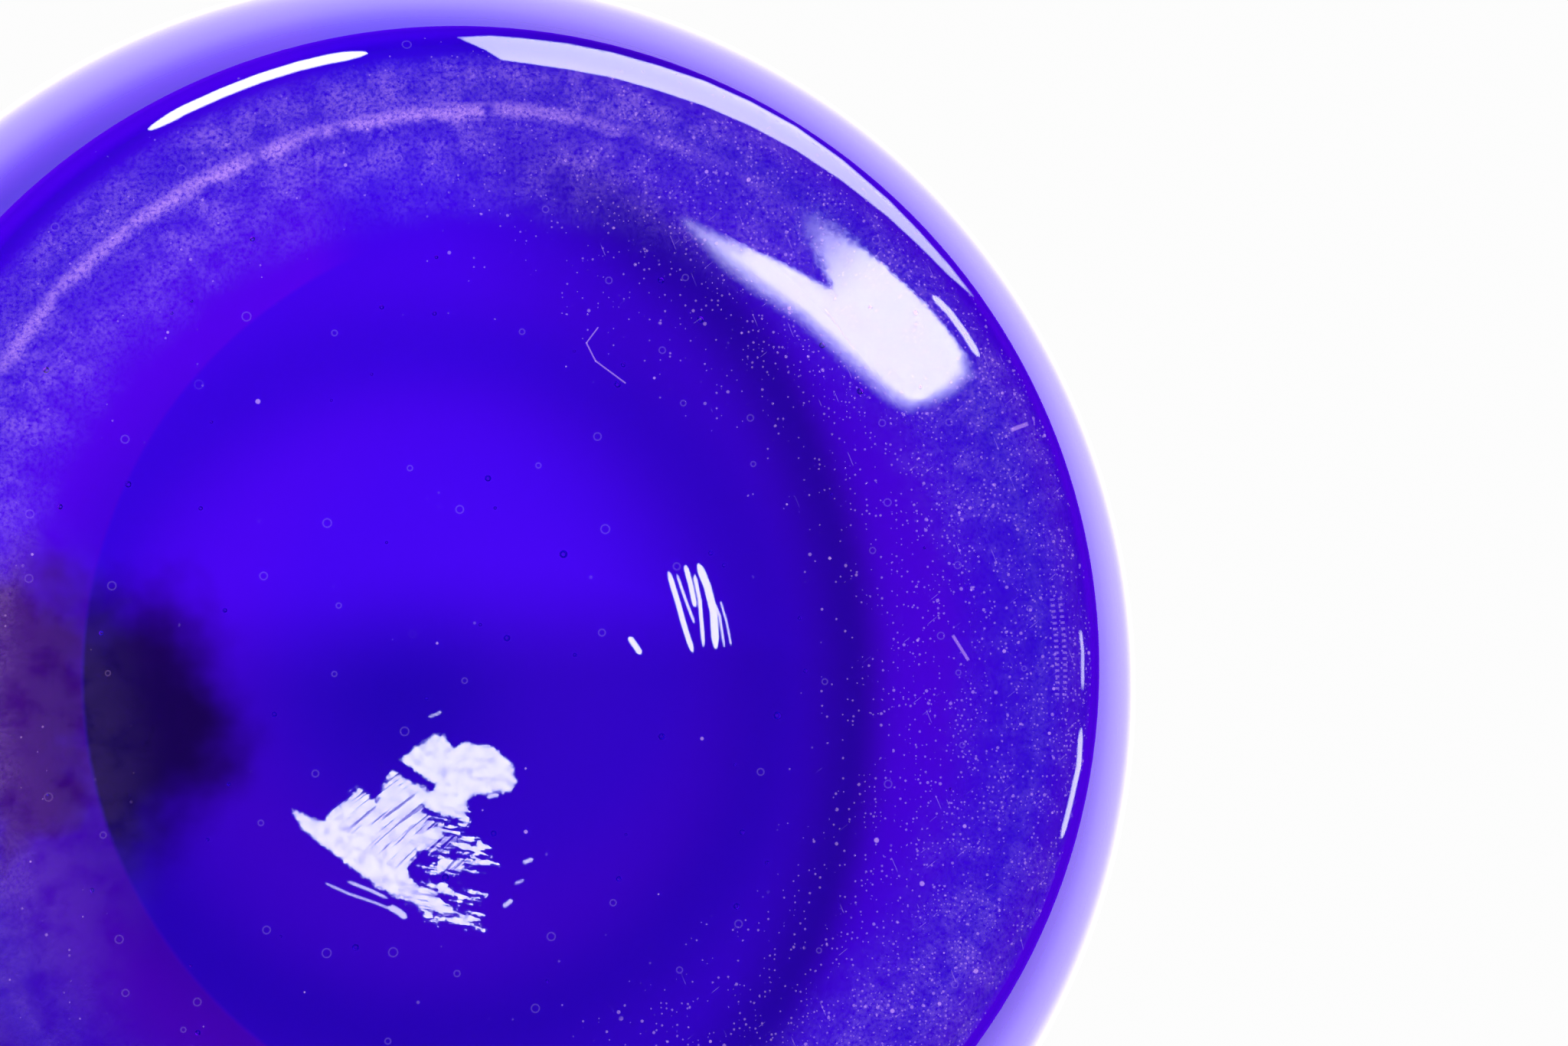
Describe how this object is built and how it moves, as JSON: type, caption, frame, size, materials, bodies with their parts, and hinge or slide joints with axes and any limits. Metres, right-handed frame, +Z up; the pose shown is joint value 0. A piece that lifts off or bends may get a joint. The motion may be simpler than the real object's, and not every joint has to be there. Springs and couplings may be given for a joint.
{
  "type": "lidded glass jar",
  "caption": "Round-bellied jar of thick blue blown glass on a heavy polished foot, with a domed lid that drops into the mouth and lifts by a ball knob.",
  "frame": {"origin": "on the jar's axis, in the plane of the ring that it stands on", "axes": "+Z up along the axis, through the mouth and the knob; the jar is round, so +X and +Y are any two directions across it"},
  "size_m": [0.126, 0.126, 0.155],
  "materials": {
    "blue_glass": "clear deep blue glass, fire-polished, ground and polished flat under the foot, with a worn frosted ring where it stands"
  },
  "bodies": {
    "jar": {"jar_body": "blue_glass"},
    "lid": {"lid": "blue_glass", "lid_knob": "blue_glass"}
  },
  "joints": [
    {"name": "lid_lift", "type": "slide", "parent": "jar", "child": "lid", "axis": [0, 0, 1], "range_m": [0, 0.09]}
  ]
}
